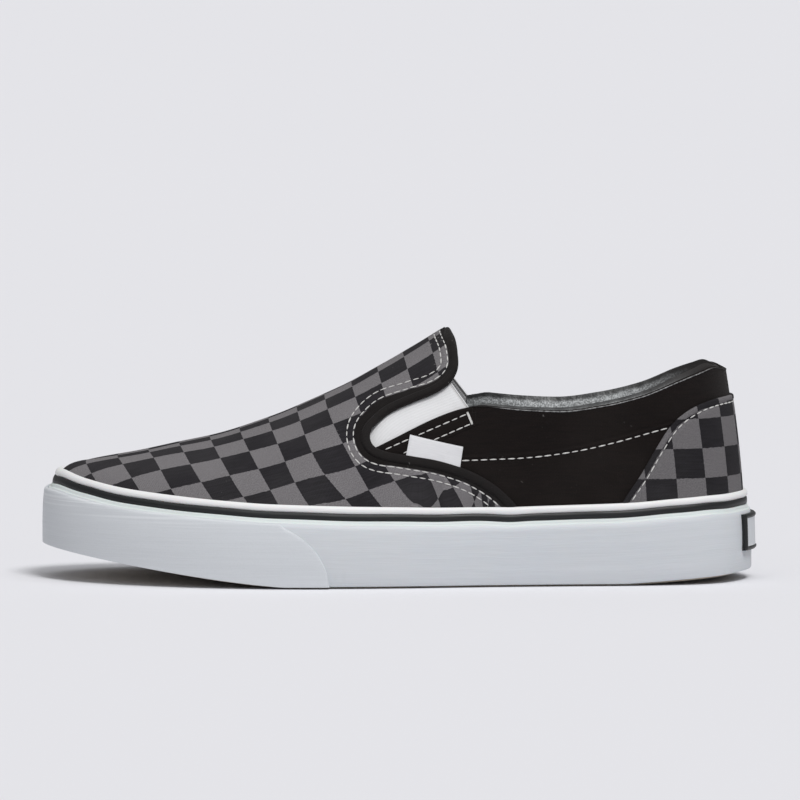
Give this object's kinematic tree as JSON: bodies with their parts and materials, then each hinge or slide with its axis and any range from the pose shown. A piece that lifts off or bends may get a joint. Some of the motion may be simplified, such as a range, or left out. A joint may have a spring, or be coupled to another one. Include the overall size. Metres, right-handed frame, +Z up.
{
  "type": "slip-on sneaker",
  "caption": "Left slip-on canvas shoe with checked vamp and heel, elastic gores, a padded collar and a tall white rubber side tape.",
  "frame": {"origin": "middle of the whole shoe's bounding box at the ground, z = 0 where the empty shoe stands", "axes": "-X at the toe and +X at the heel, -Y at the outer side of the foot and +Y at the inner side, +Z up"},
  "size_m": [0.2902, 0.1108, 0.1024],
  "materials": {
    "tread_rubber": "matt moulded rubber",
    "white_rubber": "satin vulcanised rubber tape",
    "black_rubber": "satin rubber",
    "canvas": "plain woven canvas",
    "checked_canvas": "printed woven canvas",
    "binding": "rolled twill tape",
    "elastic": "ribbed elastic webbing",
    "lining": "smooth padded lining",
    "label": "woven tape",
    "footbed": "cloth over foam"
  },
  "bodies": {
    "root": {"outsole": "tread_rubber", "foxing": "white_rubber", "foxing_stripe": "black_rubber", "toe_bumper": "white_rubber", "heel_label": "black_rubber", "upper": "canvas", "vamp_binding": "binding", "gore_lateral": "elastic", "gore_medial": "elastic", "heel_counter": "checked_canvas", "collar_lining": "lining", "side_label": "label", "insole": "footbed"}
  },
  "joints": []
}
